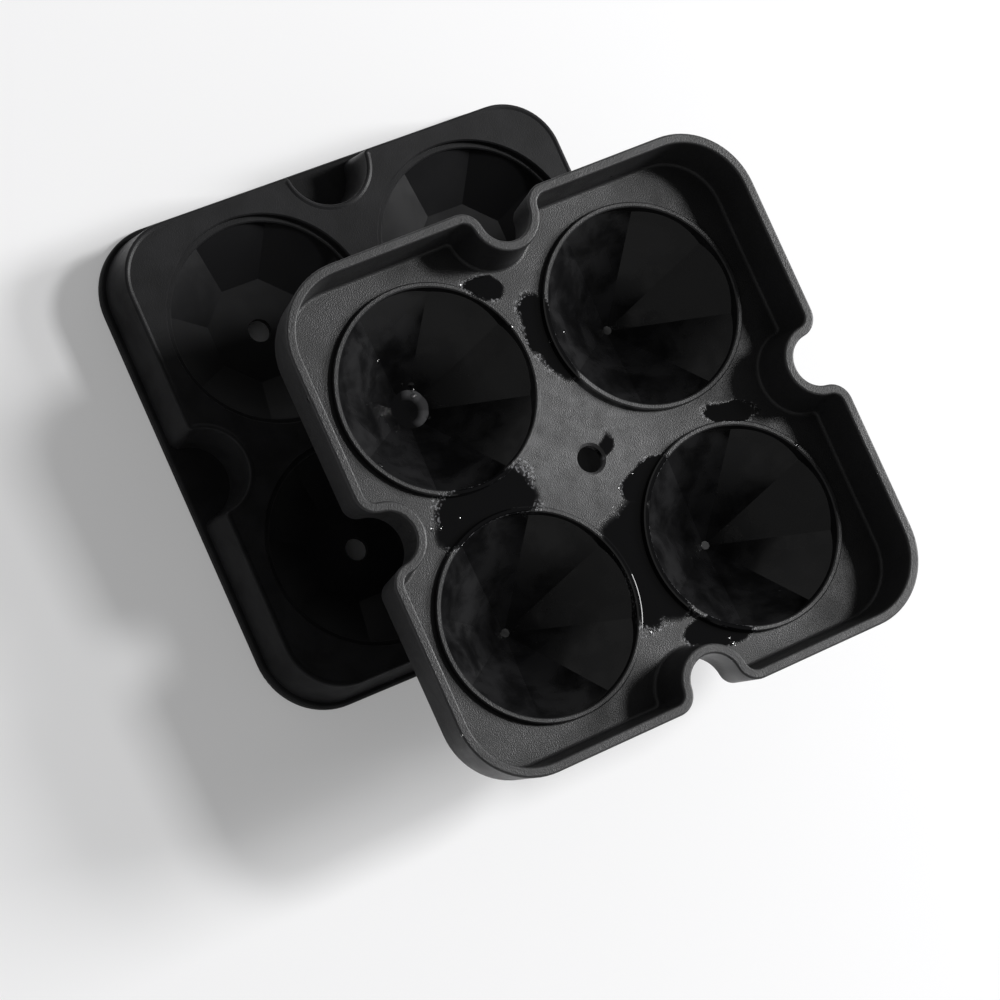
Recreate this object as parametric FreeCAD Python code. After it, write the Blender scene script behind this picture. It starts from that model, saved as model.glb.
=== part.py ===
import FreeCAD, Part
import math
import os

# Diamond ice mold: a four-cup tray and the lid that plugs into it, both moulded in silicone.
# Lengths are millimetres and angles are degrees.
# The lid lies upside down and the tray stands on it, as the pair is put down to empty it.

# Plan shared by tray and lid
outer_side = 125.0
rim_corner_radius = 18.0
cavity_pitch = 56.6
mouth_radius = 23.9
mouth_bevel = 0.3
facet_count = 8

# Tray wall
wall_height = 12.2
rim_thickness = 2.4
inner_draft = 1.4
outer_draft = 1.6
rim_rounding = 0.5
foot_rounding = 0.9
base_rounding = 0.8
deck_thickness = 2.2

# Half-round finger notch in the middle of each side
notch_radius = 6.3
notch_setback = 3.9
notch_shoulder_radius = 5.2

# Tray cups, each a brilliant's pavilion
pavilion_depth = 22.0
pavilion_girdle = 0.8
culet_apothem = 1.0
cup_wall = 2.0
lip_width = 1.3
lip_height = 1.4
lip_bevel = 0.3
centre_hole_radius = 3.2
centre_hole_bevel = 0.6

# Lid
plug_clearance = 0.2
plug_overlength = 0.3
flange_inset = 1.3
flange_thickness = 3.0
flange_rounding = 0.8
plug_rounding = 0.5
plug_wall = 2.3
hollow_shoulder_radius = 0.8
bead_height = 0.2
bead_crest = 0.7
bead_flank = 0.6
bead_shoulder_radius = 0.4
rebate_clearance = 0.15
rebate_spare_depth = 0.3
crown_depth = 11.0
crown_girdle = 0.8
table_radius = 12.7
crown_wall = 1.8
fill_hole_radius = 2.8
funnel_mouth_radius = 4.6
funnel_wall = 1.5

# How the tray stands on the lid
tray_yaw = 0.85
tray_tilt = 1.3
tray_offset_x = 20.0
tray_offset_y = -32.6
resting_gap = 0.15
lowering_steps = 30
contact_tolerance = 0.01

# Sizes that follow from the ones above
rim_half = outer_side / 2
notch_at = rim_half - notch_setback
foot_inset = rim_thickness + inner_draft
lid_height = flange_thickness + wall_height + plug_overlength
lip_radius = mouth_radius + lip_width
overshoot = 1.0


def vector(x, y, z=0.0):
    return FreeCAD.Vector(x, y, z)


def quarter_turned(point, quarters):
    """The point turned about the Z axis by whole quarter turns."""
    x, y = point
    for _ in range(quarters):
        x, y = -y, x
    return x, y


def square_side(half, corner, notch, shoulder):
    """Arcs and lines of one side, each as the plan points it runs through."""
    corner_centre = half - corner
    shoulder_y = half - shoulder
    rise = shoulder_y - notch_at
    shoulder_x = math.sqrt((notch + shoulder) ** 2 - rise ** 2)
    lean = math.atan2(rise, shoulder_x)
    touch = (notch * math.cos(lean), notch_at + notch * math.sin(lean))
    bisector = (math.pi / 2 + lean + math.pi) / 2
    diagonal = corner * math.sqrt(0.5)

    def on_shoulder(side):
        return (side * (shoulder_x + shoulder * math.cos(bisector)), shoulder_y + shoulder * math.sin(bisector))

    return [
        [(half, corner_centre), (corner_centre + diagonal, corner_centre + diagonal), (corner_centre, half)],
        [(corner_centre, half), (shoulder_x, half)],
        [(shoulder_x, half), on_shoulder(1), touch],
        [touch, (0.0, notch_at - notch), (-touch[0], touch[1])],
        [(-touch[0], touch[1]), on_shoulder(-1), (-shoulder_x, half)],
        [(-shoulder_x, half), (-corner_centre, half)],
    ]


def wire_through(spans, z):
    """A closed wire at one height, of straight spans (two points) and arcs (three points)."""
    edges = []
    for span in spans:
        points = [vector(x, y, z) for x, y in span]
        if len(points) == 2:
            edges.append(Part.LineSegment(points[0], points[1]).toShape())
        else:
            edges.append(Part.Arc(points[0], points[1], points[2]).toShape())
    return Part.Wire(edges)


def notched_square(inset, z, shoulder=None):
    """The mould's outline with its four notches, moved inwards by the inset."""
    if shoulder is None:
        shoulder = notch_shoulder_radius - inset
    side = square_side(rim_half - inset, rim_corner_radius - inset, notch_radius + inset, shoulder)
    spans = [[quarter_turned(point, turn) for point in span] for turn in range(4) for span in side]
    return wire_through(spans, z)


def plain_square(half, corner, z):
    """A square outline with rounded corners."""
    inner = half - corner
    diagonal = inner + corner * math.sqrt(0.5)
    side = [[(half, inner), (diagonal, diagonal), (inner, half)], [(inner, half), (-inner, half)]]
    spans = [[quarter_turned(point, turn) for point in span] for turn in range(4) for span in side]
    return wire_through(spans, z)


def drafted(lower_wire, upper_wire):
    """A solid whose walls run straight from one outline to the other."""
    return Part.makeLoft([lower_wire, upper_wire], True, True)


def faceted(lower_apothem, lower_z, upper_apothem, upper_z):
    """An eight-sided frustum with its flats parallel to the mould's sides."""
    half_step = math.pi / facet_count

    def corners(apothem, z):
        radius = apothem / math.cos(half_step)
        angles = [half_step * (2 * k + 1) for k in range(facet_count)]
        return [vector(radius * math.cos(a), radius * math.sin(a), z) for a in angles]

    low = corners(lower_apothem, lower_z)
    high = corners(upper_apothem, upper_z)
    faces = [Part.Face(Part.makePolygon(ring + ring[:1])) for ring in (low, high)]
    for k in range(facet_count):
        n = (k + 1) % facet_count
        faces.append(Part.Face(Part.makePolygon([low[k], low[n], high[n], high[k], low[k]])))
    return Part.makeSolid(Part.makeShell(faces))


def disc(radius, lower_z, upper_z):
    return Part.makeCylinder(radius, upper_z - lower_z, vector(0, 0, lower_z))


def at_each_cavity(shape):
    """Copies of a shape at the four cavity centres."""
    copies = []
    for sign_x in (-1, 1):
        for sign_y in (-1, 1):
            copy = shape.copy()
            copy.translate(vector(sign_x * cavity_pitch / 2, sign_y * cavity_pitch / 2))
            copies.append(copy)
    return copies


def cone(lower_radius, upper_radius, lower_z, upper_z):
    """A length of cone about the Z axis."""
    return Part.makeCone(lower_radius, upper_radius, upper_z - lower_z, vector(0, 0, lower_z))


def bevelled_disc(radius, bevel, lower_z, upper_z):
    """A disc whose upper edge is cut off at 45 degrees."""
    return disc(radius, lower_z, upper_z - bevel).fuse(cone(radius, radius - bevel, upper_z - bevel, upper_z))


def rounded(shape, radius, *levels):
    """The shape with every edge rounded that lies flat at one of the heights."""
    edges = [edge for edge in shape.Edges if any(lies_at(edge, z) for z in levels)]
    return shape.makeFillet(radius, edges)


def lies_at(edge, z):
    return abs(edge.BoundBox.ZMin - z) < 1e-4 and abs(edge.BoundBox.ZMax - z) < 1e-4


# Tray, with the deck's upper face at height 0 and its cups below

pavilion_slope = math.atan2(pavilion_depth - pavilion_girdle, mouth_radius - culet_apothem)


def pavilion_apothem(z):
    """How far the cup's inner facets stand from its axis at a height."""
    return culet_apothem + (z + pavilion_depth) / math.tan(pavilion_slope)


def pavilion_cavity():
    """What the cup holds: eight facets under a round girdle, with a bevelled mouth."""
    top = lip_height + overshoot
    facets = faceted(culet_apothem, -pavilion_depth, pavilion_apothem(top), top)
    gem = facets.common(disc(mouth_radius, -pavilion_depth - overshoot, top))
    return [gem, cone(mouth_radius, mouth_radius + mouth_bevel, lip_height - mouth_bevel, lip_height)]


def cup_body():
    """A cup's outside: the same facets one wall thickness further out."""
    foot = -pavilion_depth - cup_wall
    spread = cup_wall / math.sin(pavilion_slope)
    facets = faceted(pavilion_apothem(foot) + spread, foot, pavilion_apothem(0.0) + spread, 0.0)
    return facets.common(disc(mouth_radius + cup_wall, foot - overshoot, 0.0))


def tray_basin():
    """The deck and the notched wall round it, both faces of the wall leaning outwards."""
    outside = drafted(notched_square(outer_draft, -deck_thickness), notched_square(0.0, wall_height))
    inside = drafted(notched_square(foot_inset, 0.0), notched_square(rim_thickness, wall_height))
    outside = rounded(outside, base_rounding, -deck_thickness)
    basin = rounded(outside.cut(inside), rim_rounding, wall_height)
    return rounded(basin, foot_rounding, 0.0)


def centre_hole():
    mouth = cone(centre_hole_radius, centre_hole_radius + centre_hole_bevel, -centre_hole_bevel, 0.0)
    return [disc(centre_hole_radius, -deck_thickness - overshoot, overshoot), mouth]


def tray_shape():
    lip = bevelled_disc(lip_radius, lip_bevel, 0.0, lip_height)
    tray = tray_basin().fuse(at_each_cavity(cup_body()) + at_each_cavity(lip))
    cavities = [copy for cavity in pavilion_cavity() for copy in at_each_cavity(cavity)]
    return tray.cut(cavities + centre_hole())


# Lid, lying on its outer face at height 0 with the plug and its crowns upwards

rebate_depth = lip_height + rebate_spare_depth
rebate_radius = lip_radius + rebate_clearance
crown_rim_z = lid_height - rebate_depth - crown_girdle
table_z = lid_height - crown_depth
table_apothem = table_radius * math.cos(math.pi / facet_count)
crown_slope = math.atan2(crown_rim_z - table_z, mouth_radius - table_apothem)


def crown_apothem(z):
    return table_apothem + (z - table_z) / math.tan(crown_slope)


def crown_cavity():
    """What a crown leaves open: its facets, the rebate for the tray's lip, the funnel and its hole."""
    top = lid_height + overshoot
    ledge = lid_height - rebate_depth
    plateau = lid_height - bead_height
    facets = faceted(table_apothem, table_z, crown_apothem(top), top)
    return [
        facets.common(disc(mouth_radius, table_z - overshoot, top)),
        cone(mouth_radius, mouth_radius + mouth_bevel, ledge - mouth_bevel, ledge),
        disc(rebate_radius, ledge, top),
        cone(rebate_radius, rebate_radius + mouth_bevel, plateau - mouth_bevel, plateau),
        Part.makeCone(funnel_mouth_radius, fill_hole_radius, table_z - crown_wall),
        disc(fill_hole_radius, table_z - crown_wall - overshoot, table_z + overshoot),
    ]


def crown_body():
    """A crown's outside under the plateau, with the collar of its filling funnel."""
    low = table_z - crown_wall
    high = lid_height - bead_height
    spread = crown_wall / math.sin(crown_slope)
    facets = faceted(crown_apothem(low) + spread, low, crown_apothem(high) + spread, high)
    shell = facets.common(disc(rebate_radius + crown_wall, low - overshoot, high))
    collar = Part.makeCone(funnel_mouth_radius + funnel_wall, fill_hole_radius + funnel_wall, table_z)
    return [shell, collar]


def lid_plug():
    """The notched plug, one clearance inside the tray's wall, with a sealing bead along its edge."""
    tip_inset = foot_inset + plug_clearance
    crest_inset = tip_inset + bead_crest
    plug = drafted(notched_square(rim_thickness + plug_clearance, flange_thickness),
                   notched_square(tip_inset, lid_height))
    plug = rounded(plug, plug_rounding, lid_height)
    plateau = drafted(notched_square(crest_inset + bead_flank, lid_height - bead_height, bead_shoulder_radius),
                      notched_square(crest_inset, lid_height, bead_shoulder_radius))
    return plug.cut(plateau)


def lid_hollow():
    """The open underside: the plug's outline, one wall thickness further in."""
    base_inset = rim_thickness + plug_clearance + plug_wall
    tip_inset = foot_inset + plug_clearance + plug_wall
    return drafted(notched_square(base_inset, 0.0, hollow_shoulder_radius),
                   notched_square(tip_inset, lid_height - plug_wall, hollow_shoulder_radius))


def lid_shape():
    flange_half = rim_half - flange_inset
    flange = plain_square(flange_half, rim_corner_radius - flange_inset, 0.0)
    flange = Part.Face(flange).extrude(vector(0, 0, flange_thickness))
    flange = rounded(flange, flange_rounding, 0.0, flange_thickness)
    crowns = [copy for body in crown_body() for copy in at_each_cavity(body)]
    cavities = [copy for cavity in crown_cavity() for copy in at_each_cavity(cavity)]
    return flange.fuse(lid_plug()).cut(lid_hollow()).fuse(crowns).cut(cavities)


# Resting place of the tray on the lid

def turned(shape):
    """The shape with the tray's lean and turn, above its place over the lid."""
    moved = shape.copy()
    moved.rotate(vector(0, 0, 0), vector(1, 0, 0), tray_tilt)
    moved.rotate(vector(0, 0, 0), vector(0, 0, 1), tray_yaw)
    moved.translate(vector(tray_offset_x, tray_offset_y, lid_height + outer_side))
    return moved


def drop_onto(upper, lower):
    """How far the upper shape comes straight down before it rests on the lower one."""
    falling = upper.copy()
    drop = 0.0
    for _ in range(lowering_steps):
        clear = falling.distToShape(lower)[0] - resting_gap
        if clear < contact_tolerance:
            break
        falling.translate(vector(0, 0, -clear))
        drop += clear
    return drop


def save(shape, name):
    solid = shape.removeSplitter()
    if solid.ShapeType != "Solid":
        solid = solid.Solids[0]
    solid.exportStep(os.path.join("parts", name + ".step"))
    print(name, "valid", solid.isValid(), "volume", round(solid.Volume / 1000, 2), "cm3")


def main():
    os.makedirs("parts", exist_ok=True)
    lid = lid_shape()
    tray = turned(tray_shape())
    cups = turned(Part.makeCompound(at_each_cavity(cup_body())))
    tray.translate(vector(0, 0, -drop_onto(cups, lid)))
    box = Part.makeCompound([lid, tray]).BoundBox
    to_origin = vector(-box.Center.x, -box.Center.y, -box.ZMin)
    for shape, name in ((tray, "tray"), (lid, "lid")):
        shape.translate(to_origin)
        save(shape, name)
        print(name, "moved by", [round(v, 3) for v in to_origin])


main()
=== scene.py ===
"""Diamond ice mould: finishes the silicone of the tray and of its lid, and lights them on a white table."""

import math

import bpy
from mathutils import Euler, Matrix, Vector


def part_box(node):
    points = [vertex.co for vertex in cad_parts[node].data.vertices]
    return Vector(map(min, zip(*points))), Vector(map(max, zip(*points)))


bl_info = {
    "name": "Diamond Ice Mould",
    "version": (1, 0, 0),
    "blender": (4, 5, 0),
    "location": "View3D > Sidebar > Ice Mould",
    "description": "Dresses a four-cup silicone ice mould and its lid and puts them on a lit table",
    "category": "Object",
}

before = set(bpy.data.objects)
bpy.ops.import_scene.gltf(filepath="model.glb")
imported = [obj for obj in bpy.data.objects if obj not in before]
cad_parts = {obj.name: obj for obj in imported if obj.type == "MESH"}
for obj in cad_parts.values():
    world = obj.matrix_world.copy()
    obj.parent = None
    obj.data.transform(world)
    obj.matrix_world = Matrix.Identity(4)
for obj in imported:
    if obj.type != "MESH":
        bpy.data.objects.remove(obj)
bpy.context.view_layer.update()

MM = 0.001

# How the tray stands on the lid, as the solids have it
TRAY_TILT = math.radians(1.3)
TRAY_YAW = math.radians(0.85)

# The mould's own sizes, in millimetres, as the solids have them
CAVITY_PITCH = 56.6
MOUTH_RADIUS = 23.9
WALL_HEIGHT = 12.2
PAVILION_DEPTH = 22.0
CUP_WALL = 2.0
LIP_RADIUS = 25.2

# Slope of a cup's inner corners, as the rise over the reach
CORNER_RISE = 0.855

# Where the inside of a cup ends for its finish: a share of the wall's thickness at the point
INNER_WALL_SHARE = 0.9

# The finish of the cups and crowns comes in over this many millimetres on each side of their mouths
MOUTH_BLEND = 0.1

# A painted highlight along the rim's top: the rim turns paler between these depths below its top, in
# millimetres, by a share of the pale colour
RIM_HIGHLIGHT_BAND = (1.2, 0.2)
RIM_HIGHLIGHT_SHARE = 0.1

# Water in the point of the far left cup, in the tray's own millimetres: centre x and y, radius
POOL_PLACE = (-28.3, 28.3, 4.6)

# A painted highlight in that pool, where light shows through the water on one side: where it comes in, in
# millimetres past the pool's centre, and how far from the shore it fades, as shares of the radius
POOL_HIGHLIGHT_SIDE = (-0.5, 2.5)
POOL_HIGHLIGHT_SHORE = (0.45, 0.2)

# Beads stand round the pool's shore, this far to both sides of it, as a share of the radius
POOL_BEAD_REACH = 0.5

# Wet places, some of them also painted shadow beside the cups, in the tray's own millimetres: centre x and
# y, half length and half width, turn in degrees
WET_AND_SHADOW_PLACES = {
    "wedge behind the far left cup": (-6.0, 46.0, 6.5, 4.0, -20),
    "water and painted shadow left of the far right cup": (2.0, 31.0, 14.0, 5.0, 95),
    "strip between the left cups": (-29.5, -0.6, 20.0, 7.0, 4),
    "beside the drain": (4.8, 1.4, 6.0, 4.2, 60),
    "pool between the near cups": (1.0, -27.0, 22.0, 9.0, 88),
    "pool towards the near right cup": (9.5, -9.5, 10.0, 5.0, 10),
    "foot of the near notch": (9.0, -48.5, 11.0, 4.5, -12),
    "behind the near right cup": (38.0, -2.4, 9.0, 3.2, -18),
}

# A wet place reaches this far above and below the deck, in millimetres
WET_HEIGHT = 30.0

# Shares of a wet place's size between which its film comes in
FILM_EDGE = (1.1, 0.88)

# The water's edge wanders within this many millimetres. Over a reach round the cups' lips, in millimetres,
# it draws back by a share of the wet place's size.
EDGE_WANDER = 4.0
LIP_REACH = 9.0
LIP_DRAW = 0.5

# A paler patch on the middle of the deck, in the tray's own millimetres: centre x and y, radius
PALE_MIDDLE_PLACE = (-2.0, 9.0, 31.0)

# The share of that radius within which it is strongest, and the levels of noise between which it comes in
PALE_MIDDLE_CORE = 0.3
PALE_MIDDLE_STREAKS = (0.3, 0.65)

# Levels between which foam comes in: of its specks, of the clouds that break it up, and of the water's edge
FOAM_SPECKS = (0.52, 0.62)
FOAM_STRETCHES = (0.35, 0.6)
FOAM_SHORE = (0.02, 0.12)

# Levels of noise between which the clouds come in
CLOUD_LEVELS = (0.3, 0.7)

# Shares of the beads' places that hold one: on the lid, on the tray, in its film of water, along the edge
# of that film, and round the pool
LID_BEADS = 0.002
TRAY_BEADS = 0.012
FILM_BEADS = 0.15
EDGE_BEADS = 1.6
POOL_BEADS = 0.9

# A bead's least radius, and how much larger it may be, as shares of the spacing
BEAD_RADIUS = 0.12
BEAD_RADIUS_SPREAD = 0.2

# Heights of the grain and of the beads over the surface, and how much of the grain the lid shows
GRAIN_HEIGHT = 0.1 * MM
BEAD_HEIGHT = 0.3 * MM
LID_GRAIN = 0.35

# Shares of a colour in the dark and in the pale clouds, and its share in the pool
TRAY_SHADES = (0.8, 1.2)
LID_SHADES = (0.75, 1.25)
CUP_SHADES = (0.35, 1.0)
POOL_SHADE = 2.0

# How far the clouds change the roughness, and how much smoother the lid's matt faces are than the tray's
TRAY_SPREAD = 0.06
CUP_SPREAD = -0.1
LID_SPREAD = 0.04
LID_SMOOTHER = 0.08

# Roughness of a film of water, and of standing water
FILM_ROUGHNESS = 0.06
WATER_ROUGHNESS = 0.05

# Strength of the shine, where 0.5 is that of a plain polished surface
SILICONE_IOR = 1.45
TRAY_SHEEN = 0.5
CUP_SHEEN = 0.35
BEAD_SHEEN = 1.0
LID_SHEEN = 0.14
CROWN_SHEEN = 0.15

# The table is a square of this size in metres. The lid's flange hides a margin of it inside its edge.
TABLE_SIZE = 6.0
TABLE_ROUGHNESS = 0.7
UNSEEN_MARGIN = 12 * MM

# The room's pale walls end at the first elevation, and its dark ceiling is reached at the second
WALL_TOP = math.radians(20)
CEILING_START = math.radians(50)

# The lamps, aimed at the mould's middle: azimuth and elevation, size in metres
KEY_PLACE = (math.radians(-2), math.radians(48))
KEY_SIZE = 0.35
SIDE_PLACE = (math.radians(-8), math.radians(28))
SIDE_SIZE = 0.7
LAMP_DISTANCE = 2.4

# The photographer's camera: a long lens, high over the mould's left side
CAMERA_LENS = 137.2
CAMERA_SENSOR = 36.0
CAMERA_PLACE = Vector((-363.4, -91.3, 834.8)) * MM
CAMERA_AIM = Vector((-7.46, -14.31, 20.0)) * MM
CAMERA_ROLL = math.radians(54.72)


def linear(hex_colour):
    """A written sRGB colour as linear values."""
    channels = [int(hex_colour[i:i + 2], 16) / 255 for i in (1, 3, 5)]
    return [c / 12.92 if c <= 0.04045 else ((c + 0.055) / 1.055) ** 2.4 for c in channels]


class IceMouldSettings(bpy.types.PropertyGroup):
    """The sizes and colours of the finish and of the set."""

    tray_colour: bpy.props.FloatVectorProperty(
        name="Tray", description="Colour of the tray's black silicone where it is dry and matt",
        subtype="COLOR", min=0, max=1, default=linear("#212122"))
    lid_colour: bpy.props.FloatVectorProperty(
        name="Lid", description="Colour of the lid's black silicone where it is dry and matt",
        subtype="COLOR", min=0, max=1, default=linear("#222223"))
    # Colour of the paler middle of the deck, and of the painted highlight along the rim's top
    pale_middle_and_rim_highlight_colour: bpy.props.FloatVectorProperty(
        name="Bloom", description="Colour of the deck where water has dried, and of the handled rim",
        subtype="COLOR", min=0, max=1, default=linear("#4c4c4d"))
    polished_colour: bpy.props.FloatVectorProperty(
        name="Polished Silicone", description="Colour of the silicone in the polished cups and crowns",
        subtype="COLOR", min=0, max=1, default=linear("#1a1a1b"))
    # Colour of the silicone under a film of water, also used as painted shadow beside some cups
    wet_film_and_shadow_colour: bpy.props.FloatVectorProperty(
        name="Wet Silicone", description="Colour of the silicone under a film of water",
        subtype="COLOR", min=0, max=1, default=linear("#080809"))
    # Colour of foam, and of the painted highlight on one side of the pool in one cup
    foam_and_pool_highlight_colour: bpy.props.FloatVectorProperty(
        name="Foam", description="Colour of foam, and of the cloudy side of the pool in one cup",
        subtype="COLOR", min=0, max=1, default=linear("#6c6c6e"))
    table_colour: bpy.props.FloatVectorProperty(
        name="Table", description="Colour of the white table top",
        subtype="COLOR", min=0, max=1, default=linear("#ececed"))
    grain_spacing: bpy.props.FloatProperty(
        name="Grain", description="Spacing of the fine texture that the tool leaves on the matt faces",
        unit="LENGTH", min=0.0001, default=0.00028)
    bead_spacing: bpy.props.FloatProperty(
        name="Beads", description="Spacing of the places where a bead of water may stand",
        unit="LENGTH", min=0.0001, default=0.0026)
    matt_roughness: bpy.props.FloatProperty(
        name="Matt Roughness", description="Roughness of the dry matt faces",
        subtype="FACTOR", min=0, max=1, default=0.46)
    cup_roughness: bpy.props.FloatProperty(
        name="Cup Roughness", description="Roughness of the tray's wet cups",
        subtype="FACTOR", min=0, max=1, default=0.24)
    crown_roughness: bpy.props.FloatProperty(
        name="Crown Roughness", description="Roughness of the lid's dry crowns",
        subtype="FACTOR", min=0, max=1, default=0.34)
    table_lift: bpy.props.FloatProperty(
        name="Table Lift", description="How much white the table shows the camera in any light",
        subtype="FACTOR", min=0, max=1, default=0.25)
    wall_level: bpy.props.FloatProperty(
        name="Walls", description="Brightness of the room near the horizon",
        subtype="FACTOR", min=0, max=1, default=0.45)
    ceiling_level: bpy.props.FloatProperty(
        name="Ceiling", description="Brightness of the room overhead",
        subtype="FACTOR", min=0, max=1, default=0.1)
    key_power: bpy.props.FloatProperty(
        name="Key Lamp", description="Power of the small lamp on the right",
        unit="POWER", min=0, default=28.0)
    side_power: bpy.props.FloatProperty(
        name="Side Panel", description="Power of the broad low panel on the right",
        unit="POWER", min=0, default=63.0)


def settings():
    return bpy.context.scene.ice_mould


def add_node(tree, kind, links=None, **values):
    """Adds a node, sets its values, and gives its inputs a number or another node's socket."""
    node = tree.nodes.new(kind)
    for name, value in values.items():
        setattr(node, name, value)
    for key, source in (links or {}).items():
        if isinstance(source, bpy.types.NodeSocket):
            tree.links.new(source, node.inputs[key])
        else:
            node.inputs[key].default_value = source
    return node


def combined(tree, operation, *sources):
    """One to three numbers brought together by a sum, a product or the like."""
    return add_node(tree, "ShaderNodeMath", dict(enumerate(sources)), operation=operation).outputs[0]


def vector_combined(tree, operation, *sources):
    """The same for vectors. A length or a distance gives a number, and the rest give a vector."""
    node = add_node(tree, "ShaderNodeVectorMath", dict(enumerate(sources)), operation=operation)
    return node.outputs["Value" if operation in ("LENGTH", "DISTANCE") else "Vector"]


def coordinate(tree, point, axis):
    return add_node(tree, "ShaderNodeSeparateXYZ", {0: point}).outputs[axis]


def ramp(tree, value, start, end, bottom=0.0, top=1.0, interpolation="LINEAR"):
    """A number that goes from bottom to top while the value goes from start to end."""
    return add_node(tree, "ShaderNodeMapRange", {
        "Value": value, "From Min": start, "From Max": end, "To Min": bottom, "To Max": top},
        interpolation_type=interpolation).outputs[0]


def opposite(tree, mask):
    """0 where a mask is 1, and 1 where it is 0."""
    return combined(tree, "SUBTRACT", 1.0, mask)


def mixed(tree, kind, mask, outside, inside):
    """A number (FLOAT), direction (VECTOR) or colour (RGBA) that changes where a mask goes from 0 to 1."""
    first, second, result = {"FLOAT": (2, 3, 0), "VECTOR": (4, 5, 1), "RGBA": (6, 7, 2)}[kind]
    node = add_node(tree, "ShaderNodeMix", {0: mask, first: outside, second: inside}, data_type=kind)
    return node.outputs[result]


def opaque(colour, share=1.0):
    """A colour, or a share of it, as a node's socket takes it."""
    return [*[channel * share for channel in colour], 1.0]


def clouded(tree, cloud, colour, shades):
    """A colour that the clouds change from its first share to its second."""
    return mixed(tree, "RGBA", cloud, opaque(colour, shades[0]), opaque(colour, shades[1]))


def uneven(tree, cloud, roughness, spread):
    """A roughness that the clouds bring down from one side of its middle to the other."""
    return mixed(tree, "FLOAT", cloud, roughness + spread, roughness - spread)


def empty_material(name):
    material = bpy.data.materials.new(name)
    material.use_nodes = True
    material.node_tree.nodes.clear()
    return material


def own_origin(node, turn, below_top):
    """The middle of a piece's deck: centred on its own box, a height below its top."""
    points = [turn.inverted() @ vertex.co for vertex in node.data.vertices]
    middle = [(min(p[i] for p in points) + max(p[i] for p in points)) / 2 for i in (0, 1)]
    top = max(p.z for p in points)
    return turn @ Vector((middle[0], middle[1], top - below_top))


def own_millimetres(tree, origin, turn):
    """A point of the surface in the piece's own millimetres, from the middle of its deck."""
    place = add_node(tree, "ShaderNodeTexCoord")
    return add_node(tree, "ShaderNodeMapping", {
        "Vector": place.outputs["Object"], "Location": origin, "Rotation": turn.to_euler(),
        "Scale": (MM, MM, MM)}, vector_type="TEXTURE").outputs[0]


def cavity_reach(tree, point):
    """How far the point is from the nearest cavity's axis, in millimetres."""
    folded = vector_combined(tree, "ABSOLUTE", point)
    offset = vector_combined(tree, "SUBTRACT", folded, (CAVITY_PITCH / 2, CAVITY_PITCH / 2, 0))
    flat = vector_combined(tree, "MULTIPLY", offset, (1, 1, 0))
    return vector_combined(tree, "LENGTH", flat)


def within_mouth(tree, reach):
    """1 within the round mouths of the cavities."""
    return ramp(tree, reach, MOUTH_RADIUS + MOUTH_BLEND, MOUTH_RADIUS - MOUTH_BLEND)


def above_cup_wall(tree, point, reach):
    """1 on the inside of a cup and 0 on its outside, parted by a cone that runs within its wall."""
    lowest = -PAVILION_DEPTH - CUP_WALL * INNER_WALL_SHARE
    cone = combined(tree, "MULTIPLY_ADD", reach, CORNER_RISE, lowest)
    return combined(tree, "GREATER_THAN", coordinate(tree, point, "Z"), cone)


def wet_and_shadow_mask(tree, point, reach):
    """1 where a film of water lies, which beside some cups also stands for painted shadow. Its edges wander,
    and it reaches farther along the cups' lips.
    """
    wander = add_node(tree, "ShaderNodeTexNoise", {
        "Vector": point, "Scale": 0.16, "Detail": 3.0, "Roughness": 0.6})
    bent = vector_combined(
        tree, "MULTIPLY_ADD", wander.outputs["Color"], (EDGE_WANDER, EDGE_WANDER, 0), point)
    centred = vector_combined(tree, "SUBTRACT", bent, (EDGE_WANDER / 2, EDGE_WANDER / 2, 0))
    away_from_lips = ramp(tree, reach, LIP_RADIUS, LIP_RADIUS + LIP_REACH, top=LIP_DRAW)
    wet = 0.0
    for x, y, half_length, half_width, turn in WET_AND_SHADOW_PLACES.values():
        local = add_node(tree, "ShaderNodeMapping", {
            "Vector": centred, "Location": (x, y, 0), "Rotation": (0, 0, math.radians(turn)),
            "Scale": (half_length, half_width, WET_HEIGHT)}, vector_type="TEXTURE")
        depth = vector_combined(tree, "LENGTH", local.outputs[0])
        patch = ramp(tree, combined(tree, "ADD", depth, away_from_lips), *FILM_EDGE)
        wet = combined(tree, "MAXIMUM", wet, patch)
    return wet


def pale_middle_mask(tree, point):
    """How much paler the deck is made, most of it round the drain, in streaks."""
    x, y, radius = PALE_MIDDLE_PLACE
    away = vector_combined(tree, "DISTANCE", point, (x, y, 0))
    near = ramp(tree, away, radius, radius * PALE_MIDDLE_CORE, interpolation="SMOOTHSTEP")
    streaks = add_node(tree, "ShaderNodeTexNoise", {
        "Vector": point, "Scale": 0.2, "Detail": 4.0, "Roughness": 0.7})
    return combined(tree, "MULTIPLY", near, ramp(tree, streaks.outputs[0], *PALE_MIDDLE_STREAKS))


def foam_mask(tree, point, edge, cloud):
    """1 on the fine specks of foam that stand along some stretches of the water's edge."""
    specks = add_node(tree, "ShaderNodeTexNoise", {"Vector": point, "Scale": 1.4, "Detail": 1.0})
    bubbles = ramp(tree, specks.outputs[0], *FOAM_SPECKS)
    broken = combined(tree, "MULTIPLY", bubbles, ramp(tree, cloud, *FOAM_STRETCHES))
    return combined(tree, "MULTIPLY", broken, ramp(tree, edge, *FOAM_SHORE))


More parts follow.
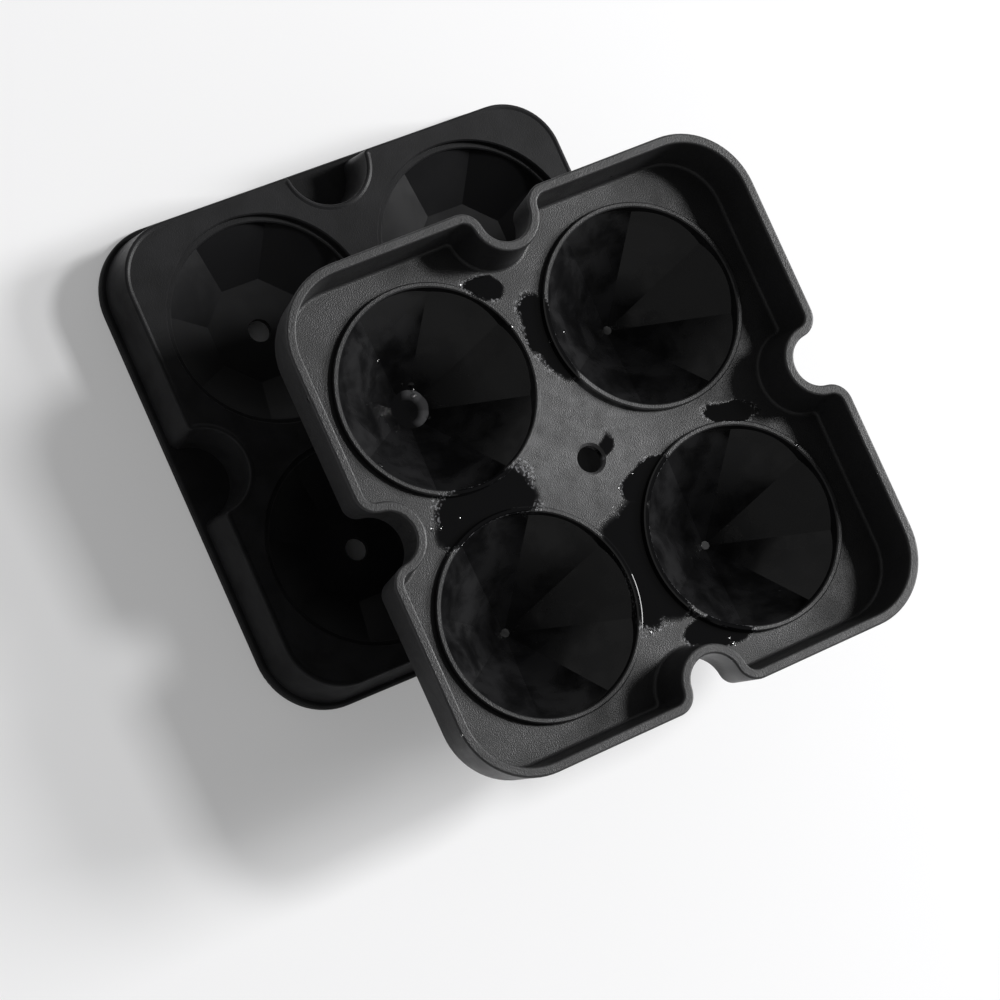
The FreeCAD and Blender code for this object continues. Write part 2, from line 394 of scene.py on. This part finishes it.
def water_beads(tree, point, share):
    """Beads of water: a low dome in each cell of a random pattern, and 1 where one really stands."""
    cells = add_node(tree, "ShaderNodeTexVoronoi", {
        "Vector": point, "Scale": MM / settings().bead_spacing, "Randomness": 0.9})
    chance = add_node(tree, "ShaderNodeSeparateColor", {0: cells.outputs["Color"]})
    radius = combined(tree, "MULTIPLY_ADD", chance.outputs["Green"], BEAD_RADIUS_SPREAD, BEAD_RADIUS)
    outwards = combined(tree, "DIVIDE", cells.outputs["Distance"], radius)
    fall = combined(tree, "MULTIPLY", outwards, outwards)
    dome = combined(tree, "MAXIMUM", opposite(tree, fall), 0)
    chosen = combined(tree, "LESS_THAN", chance.outputs["Red"], share)
    return dome, combined(tree, "MULTIPLY", chosen, combined(tree, "GREATER_THAN", dome, 0))


def cloudiness(tree, point):
    """Soft clouds about 8 mm across, where the surface was wiped or has dried unevenly."""
    noise = add_node(tree, "ShaderNodeTexNoise", {
        "Vector": point, "Scale": 0.12, "Detail": 3.0, "Roughness": 0.55, "Distortion": 0.3})
    return ramp(tree, noise.outputs[0], *CLOUD_LEVELS, interpolation="SMOOTHSTEP")


def moulded_grain(tree, point):
    """The tool's blasted texture, coarser than the real one so that it shows in the render."""
    return add_node(tree, "ShaderNodeTexNoise", {
        "Vector": point, "Scale": MM / settings().grain_spacing, "Detail": 1.0, "Roughness": 0.5}).outputs[0]


def pool_depth(tree, point):
    """1 in the middle of the little pool in the point of one cup, 0 at its shore and less outside it."""
    x, y, radius = POOL_PLACE
    flat = vector_combined(tree, "MULTIPLY", point, (1, 1, 0))
    away = vector_combined(tree, "DISTANCE", flat, (x, y, 0))
    return combined(tree, "MULTIPLY_ADD", away, -1 / radius, 1.0)


def pool_water(tree, point, inside_pool):
    """The pool's colour: dark, with a painted highlight in a crescent along one side of its shore."""
    choice = settings()
    start, end = (POOL_PLACE[0] + step for step in POOL_HIGHLIGHT_SIDE)
    highlight_side = ramp(tree, coordinate(tree, point, "X"), start, end)
    pool_highlight = combined(tree, "MULTIPLY", highlight_side, ramp(tree, inside_pool, *POOL_HIGHLIGHT_SHORE))
    return mixed(tree, "RGBA", pool_highlight, opaque(choice.wet_film_and_shadow_colour, POOL_SHADE), opaque(choice.foam_and_pool_highlight_colour))


def close_silicone(tree, point, colour, roughness, sheen, grain_share, dome, beaded, level=0.0):
    """Ends the material in a silicone surface, its grain and its beads standing up from it.

    Where the mask named level is 1, water lies level and hides the shape beneath it.
    """
    grained = add_node(tree, "ShaderNodeBump", {
        "Strength": grain_share, "Distance": GRAIN_HEIGHT, "Height": moulded_grain(tree, point)})
    calm = mixed(tree, "VECTOR", level, grained.outputs[0], (0, 0, 1))
    beads = add_node(tree, "ShaderNodeBump", {
        "Strength": beaded, "Distance": BEAD_HEIGHT, "Height": dome, "Normal": calm})
    surface = add_node(tree, "ShaderNodeBsdfPrincipled", {
        "Base Color": colour, "Roughness": roughness, "IOR": SILICONE_IOR, "Specular IOR Level": sheen,
        "Normal": beads.outputs[0]})
    add_node(tree, "ShaderNodeOutputMaterial", {"Surface": surface.outputs[0]})


def tray_silicone(origin, turn):
    """Compression-moulded silicone rubber, wet in places.

    The eye sees a matt black with a soft sheen, a painted highlight along the rim's top and a paler middle,
    glassy dark patches where water lies, some of them also painted shadow beside the cups, and smoother,
    darker cups with a cloudy film of water in them.
    """
    choice = settings()
    material = empty_material("moulded_silicone_tray")
    tree = material.node_tree
    point = own_millimetres(tree, origin, turn)
    reach = cavity_reach(tree, point)
    cup = combined(tree, "MULTIPLY", within_mouth(tree, reach), above_cup_wall(tree, point, reach))
    matt = opposite(tree, cup)
    wet = combined(tree, "MULTIPLY", wet_and_shadow_mask(tree, point, reach), matt)
    edge = combined(tree, "MULTIPLY", wet, opposite(tree, wet))
    cloud = cloudiness(tree, point)
    inside_pool = pool_depth(tree, point)
    pool = combined(tree, "MULTIPLY", cup, combined(tree, "GREATER_THAN", inside_pool, 0.0))

    plain = clouded(tree, cloud, choice.tray_colour, TRAY_SHADES)
    # Painted highlight: the rim's top is made paler where light catches its rounded edge
    start, end = (WALL_HEIGHT - depth for depth in RIM_HIGHLIGHT_BAND)
    rim = ramp(tree, coordinate(tree, point, "Z"), start, end, top=RIM_HIGHLIGHT_SHARE)
    pale = combined(tree, "MAXIMUM", rim, pale_middle_mask(tree, point))
    dry = mixed(tree, "RGBA", pale, plain, opaque(choice.pale_middle_and_rim_highlight_colour))
    # The dark film of water is in places also painted shadow beside the cups
    deck = mixed(tree, "RGBA", wet, dry, opaque(choice.wet_film_and_shadow_colour))
    foamy = mixed(tree, "RGBA", foam_mask(tree, point, edge, cloud), deck, opaque(choice.foam_and_pool_highlight_colour))
    film = clouded(tree, cloud, choice.polished_colour, CUP_SHADES)
    inside = mixed(tree, "RGBA", pool, film, pool_water(tree, point, inside_pool))
    colour = mixed(tree, "RGBA", cup, foamy, inside)

    on_shore = combined(tree, "ABSOLUTE", inside_pool)
    round_pool = ramp(tree, on_shore, POOL_BEAD_REACH, 0.0, top=POOL_BEADS)
    flat_share = combined(tree, "MULTIPLY_ADD", wet, FILM_BEADS, TRAY_BEADS)
    deck_share = combined(tree, "MULTIPLY_ADD", edge, EDGE_BEADS, flat_share)
    dome, beaded = water_beads(tree, point, combined(tree, "MULTIPLY_ADD", round_pool, cup, deck_share))

    dry_roughness = uneven(tree, cloud, choice.matt_roughness, TRAY_SPREAD)
    deck_roughness = mixed(tree, "FLOAT", wet, dry_roughness, FILM_ROUGHNESS)
    cup_roughness = uneven(tree, cloud, choice.cup_roughness, CUP_SPREAD)
    silicone_roughness = mixed(tree, "FLOAT", cup, deck_roughness, cup_roughness)
    standing = combined(tree, "MAXIMUM", beaded, pool)
    roughness = mixed(tree, "FLOAT", standing, silicone_roughness, WATER_ROUGHNESS)
    sheen = mixed(tree, "FLOAT", beaded, mixed(tree, "FLOAT", cup, TRAY_SHEEN, CUP_SHEEN), BEAD_SHEEN)
    grain_share = combined(tree, "MULTIPLY", matt, opposite(tree, wet))
    close_silicone(tree, point, colour, roughness, sheen, grain_share, dome, beaded, pool)
    return material


def lid_silicone(origin, turn):
    """Compression-moulded silicone rubber, dry.

    The eye sees a plain matt black with less sheen than the tray's, and crowns a little smoother and darker.
    """
    choice = settings()
    material = empty_material("moulded_silicone_lid")
    tree = material.node_tree
    point = own_millimetres(tree, origin, turn)
    crown = within_mouth(tree, cavity_reach(tree, point))
    cloud = cloudiness(tree, point)

    plain = clouded(tree, cloud, choice.lid_colour, LID_SHADES)
    colour = mixed(tree, "RGBA", crown, plain, opaque(choice.polished_colour))
    dome, beaded = water_beads(tree, point, LID_BEADS)
    matt_roughness = uneven(tree, cloud, choice.matt_roughness - LID_SMOOTHER, LID_SPREAD)
    crown_roughness = uneven(tree, cloud, choice.crown_roughness, LID_SPREAD)
    roughness = mixed(tree, "FLOAT", crown, matt_roughness, crown_roughness)
    sheen = mixed(tree, "FLOAT", crown, LID_SHEEN, CROWN_SHEEN)
    grain_share = combined(tree, "MULTIPLY", opposite(tree, crown), LID_GRAIN)
    close_silicone(tree, point, colour, roughness, sheen, grain_share, dome, beaded)
    return material


def give_material(node, material):
    node.data.materials.clear()
    node.data.materials.append(material)


class ICEMOULD_OT_finish_tray(bpy.types.Operator):
    """Gives the tray its silicone, with the water that lies on its deck"""

    bl_idname = "ice_mould.finish_tray"
    bl_label = "Finish Tray"

    def execute(self, context):
        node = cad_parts["tray"]
        turn = Euler((TRAY_TILT, 0, TRAY_YAW)).to_matrix()
        origin = own_origin(node, turn, WALL_HEIGHT * MM)
        give_material(node, tray_silicone(origin, turn))
        return {"FINISHED"}


class ICEMOULD_OT_finish_lid(bpy.types.Operator):
    """Gives the lid its silicone"""

    bl_idname = "ice_mould.finish_lid"
    bl_label = "Finish Lid"

    def execute(self, context):
        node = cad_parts["lid"]
        turn = Matrix.Identity(3)
        origin = own_origin(node, turn, 0)
        give_material(node, lid_silicone(origin, turn))
        return {"FINISHED"}


def white_table():
    """Painted table top, lifted for the camera alone, so that it is as pale as in the photograph.

    Under the lid it isn't lifted, so that the filling holes look down into the dark.
    """
    choice = settings()
    material = empty_material("painted_white_table")
    tree = material.node_tree
    lowest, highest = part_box("lid")
    place = add_node(tree, "ShaderNodeTexCoord")
    offset = vector_combined(tree, "SUBTRACT", place.outputs["Object"], (lowest + highest) / 2)
    away = vector_combined(tree, "ABSOLUTE", offset)
    farthest = combined(tree, "MAXIMUM", coordinate(tree, away, "X"), coordinate(tree, away, "Y"))
    open_table = combined(tree, "GREATER_THAN", farthest, (highest.x - lowest.x) / 2 - UNSEEN_MARGIN)
    ray = add_node(tree, "ShaderNodeLightPath")
    lifted = combined(tree, "MULTIPLY", open_table, ray.outputs["Is Camera Ray"])
    paint = add_node(tree, "ShaderNodeBsdfPrincipled", {
        "Base Color": opaque(choice.table_colour), "Roughness": TABLE_ROUGHNESS})
    pale_paint = add_node(tree, "ShaderNodeBsdfPrincipled", {
        "Base Color": opaque(choice.table_colour, 1 - choice.table_lift), "Roughness": TABLE_ROUGHNESS,
        "Emission Color": (1, 1, 1, 1), "Emission Strength": choice.table_lift})
    table = add_node(tree, "ShaderNodeMixShader", {0: lifted, 1: paint.outputs[0], 2: pale_paint.outputs[0]})
    add_node(tree, "ShaderNodeOutputMaterial", {"Surface": table.outputs[0]})
    return material


def studio_world():
    """A pale room: brightest near the horizon, dark overhead where the ceiling is unlit."""
    choice = settings()
    world = bpy.data.worlds.new("pale_studio")
    world.use_nodes = True
    tree = world.node_tree
    tree.nodes.clear()
    direction = add_node(tree, "ShaderNodeTexCoord")
    height = coordinate(tree, direction.outputs["Generated"], "Z")
    level = ramp(
        tree, height, math.sin(WALL_TOP), math.sin(CEILING_START), choice.wall_level, choice.ceiling_level,
        interpolation="SMOOTHSTEP")
    ray = add_node(tree, "ShaderNodeLightPath")
    strength = combined(tree, "MAXIMUM", level, ray.outputs["Is Camera Ray"])
    background = add_node(tree, "ShaderNodeBackground", {"Color": (1, 1, 1, 1), "Strength": strength})
    add_node(tree, "ShaderNodeOutputWorld", {"Surface": background.outputs[0]})
    return world


def add_panel(name, place, size, power):
    """A square lamp at an azimuth and elevation, aimed at the mould's middle."""
    lamp = bpy.data.lights.new(name, "AREA")
    lamp.size = size
    lamp.energy = power
    azimuth, elevation = place
    flat = math.cos(elevation)
    away = Vector((math.cos(azimuth) * flat, math.sin(azimuth) * flat, math.sin(elevation)))
    panel = bpy.data.objects.new(name, lamp)
    panel.location = away * LAMP_DISTANCE
    panel.rotation_euler = away.to_track_quat("Z", "Y").to_euler()
    bpy.context.scene.collection.objects.link(panel)


def add_camera():
    camera = bpy.data.objects.new("photo_camera", bpy.data.cameras.new("photo_camera"))
    camera.data.lens = CAMERA_LENS
    camera.data.sensor_width = CAMERA_SENSOR
    camera.location = CAMERA_PLACE
    level = (CAMERA_PLACE - CAMERA_AIM).to_track_quat("Z", "Y").to_matrix()
    camera.rotation_euler = (level @ Matrix.Rotation(CAMERA_ROLL, 3, "Z")).to_euler()
    bpy.context.scene.collection.objects.link(camera)
    bpy.context.scene.camera = camera


class ICEMOULD_OT_set_stage(bpy.types.Operator):
    """Builds the table, the studio light and the camera"""

    bl_idname = "ice_mould.set_stage"
    bl_label = "Set Stage"

    def execute(self, context):
        choice = settings()
        bpy.ops.mesh.primitive_plane_add(size=TABLE_SIZE)
        table = context.object
        table.name = "table_top"
        give_material(table, white_table())
        context.scene.world = studio_world()
        context.scene.view_settings.view_transform = "Standard"
        add_panel("key_lamp", KEY_PLACE, KEY_SIZE, choice.key_power)
        add_panel("side_panel", SIDE_PLACE, SIDE_SIZE, choice.side_power)
        add_camera()
        return {"FINISHED"}


class ICEMOULD_PT_panel(bpy.types.Panel):
    """Lists the steps and the settings"""

    bl_label = "Ice Mould"
    bl_idname = "ICEMOULD_PT_panel"
    bl_space_type = "VIEW_3D"
    bl_region_type = "UI"
    bl_category = "Ice Mould"

    def draw(self, context):
        for name in IceMouldSettings.__annotations__:
            self.layout.prop(context.scene.ice_mould, name)
        for step in STEPS:
            self.layout.operator(step.bl_idname)


STEPS = (ICEMOULD_OT_finish_tray, ICEMOULD_OT_finish_lid, ICEMOULD_OT_set_stage)
CLASSES = (IceMouldSettings, *STEPS, ICEMOULD_PT_panel)


def register():
    for each in CLASSES:
        bpy.utils.register_class(each)
    bpy.types.Scene.ice_mould = bpy.props.PointerProperty(type=IceMouldSettings)


def unregister():
    del bpy.types.Scene.ice_mould
    for each in reversed(CLASSES):
        bpy.utils.unregister_class(each)


def main():
    register()
    bpy.ops.ice_mould.finish_tray()
    bpy.ops.ice_mould.finish_lid()
    bpy.ops.ice_mould.set_stage()


if __name__ == "__main__":
    main()
